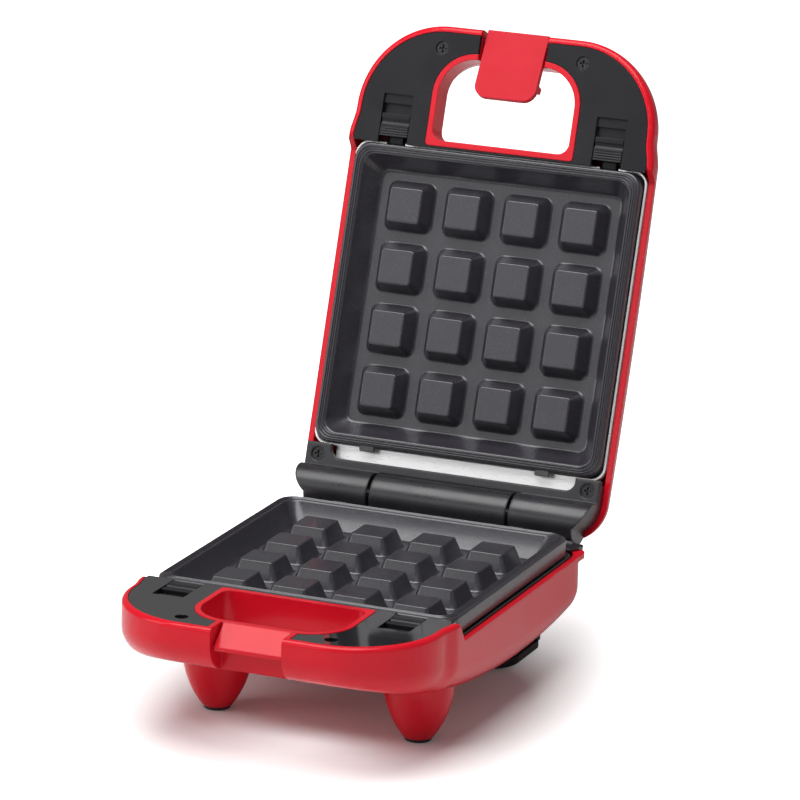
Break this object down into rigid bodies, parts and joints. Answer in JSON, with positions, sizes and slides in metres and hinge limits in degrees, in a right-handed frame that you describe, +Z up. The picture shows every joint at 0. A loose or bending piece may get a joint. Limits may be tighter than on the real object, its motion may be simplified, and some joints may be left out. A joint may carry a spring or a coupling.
{
  "type": "contact grill",
  "caption": "Small countertop cooker with a hinged lid: two plates of square blocks in red shells with open D handles, a swing latch and plate release buttons.",
  "frame": {"origin": "centre of the overall box of the opened appliance, on the table the pads stand on", "axes": "+Z up, +X to the right seen from the front, -Y towards the user (the handles' side), hinge at +Y"},
  "size_m": [0.136, 0.2761, 0.242],
  "materials": {
    "red_plastic": "glossy",
    "clip_red": "semi-gloss",
    "black_gloss": "glossy",
    "black_satin": "satin",
    "nonstick": "dark coated",
    "bright_sheet": "bright",
    "heater_steel": "satin",
    "black_screws": "black oxide",
    "bright_steel": "polished",
    "spring_steel": "satin",
    "black_rubber": "matte",
    "thermostat_body": "matte",
    "fuse_sleeve": "woven",
    "lens_red": "translucent",
    "lens_green": "translucent"
  },
  "bodies": {
    "base": {"base_shell": "red_plastic", "base_handle_cover": "black_gloss", "base_plate": "nonstick", "base_reflector": "bright_sheet", "base_heater": "heater_steel", "base_heater_straps": "heater_steel", "base_thermostat": "thermostat_body", "thermal_fuse": "fuse_sleeve", "terminal_block": "thermostat_body", "cord_gland": "black_rubber", "base_hinge_frame": "black_satin", "hinge_pin": "bright_steel", "front_leg_left": "red_plastic", "front_leg_right": "red_plastic", "front_leg_pads": "black_rubber", "cord_wrap_core": "black_satin", "cord_wrap_plate": "black_satin", "rear_foot_pads": "black_rubber", "base_cover_screws": "black_screws", "base_spring_left": "spring_steel", "base_spring_right": "spring_steel"},
    "lid": {"lid_shell": "red_plastic", "lid_handle_cover": "black_satin", "lid_plate": "nonstick", "lid_reflector": "bright_sheet", "lid_heater": "heater_steel", "lid_heater_straps": "heater_steel", "lid_hinge_cover": "black_satin", "lid_cover_screws": "black_screws", "lid_hinge_screws": "black_screws", "power_lens": "lens_red", "ready_lens": "lens_green", "latch_pin": "bright_steel", "lid_spring_left": "spring_steel", "lid_spring_right": "spring_steel"},
    "latch": {"latch_clip": "clip_red"},
    "base_button_left": {"base_button_left": "black_gloss"},
    "base_button_right": {"base_button_right": "black_gloss"},
    "lid_button_left": {"lid_button_left": "black_satin"},
    "lid_button_right": {"lid_button_right": "black_satin"}
  },
  "joints": [
    {"name": "lid_hinge", "type": "hinge", "parent": "base", "child": "lid", "pos_m": [0, 0.0599, 0.05565], "axis": [1, 0, 0], "range_deg": [0, 108.6]},
    {"name": "latch_swing", "type": "hinge", "parent": "lid", "child": "latch", "pos_m": [0, 0.13115, 0.23615], "axis": [-1, 0, 0], "range_deg": [0, 110]},
    {"name": "base_button_left_press", "type": "slide", "parent": "base", "child": "base_button_left", "axis": [0, -1, 0], "range_m": [0, 0.004], "stiffness_N_per_m": 600, "springref_m": -0.003, "deforming": ["base_spring_left"]},
    {"name": "base_button_right_press", "type": "slide", "parent": "base", "child": "base_button_right", "axis": [0, -1, 0], "range_m": [0, 0.004], "stiffness_N_per_m": 600, "springref_m": -0.003, "deforming": ["base_spring_right"]},
    {"name": "lid_button_left_press", "type": "slide", "parent": "lid", "child": "lid_button_left", "axis": [0, 0.319, 0.9478], "range_m": [0, 0.004], "stiffness_N_per_m": 600, "springref_m": -0.003, "deforming": ["lid_spring_left"]},
    {"name": "lid_button_right_press", "type": "slide", "parent": "lid", "child": "lid_button_right", "axis": [0, 0.319, 0.9478], "range_m": [0, 0.004], "stiffness_N_per_m": 600, "springref_m": -0.003, "deforming": ["lid_spring_right"]}
  ]
}
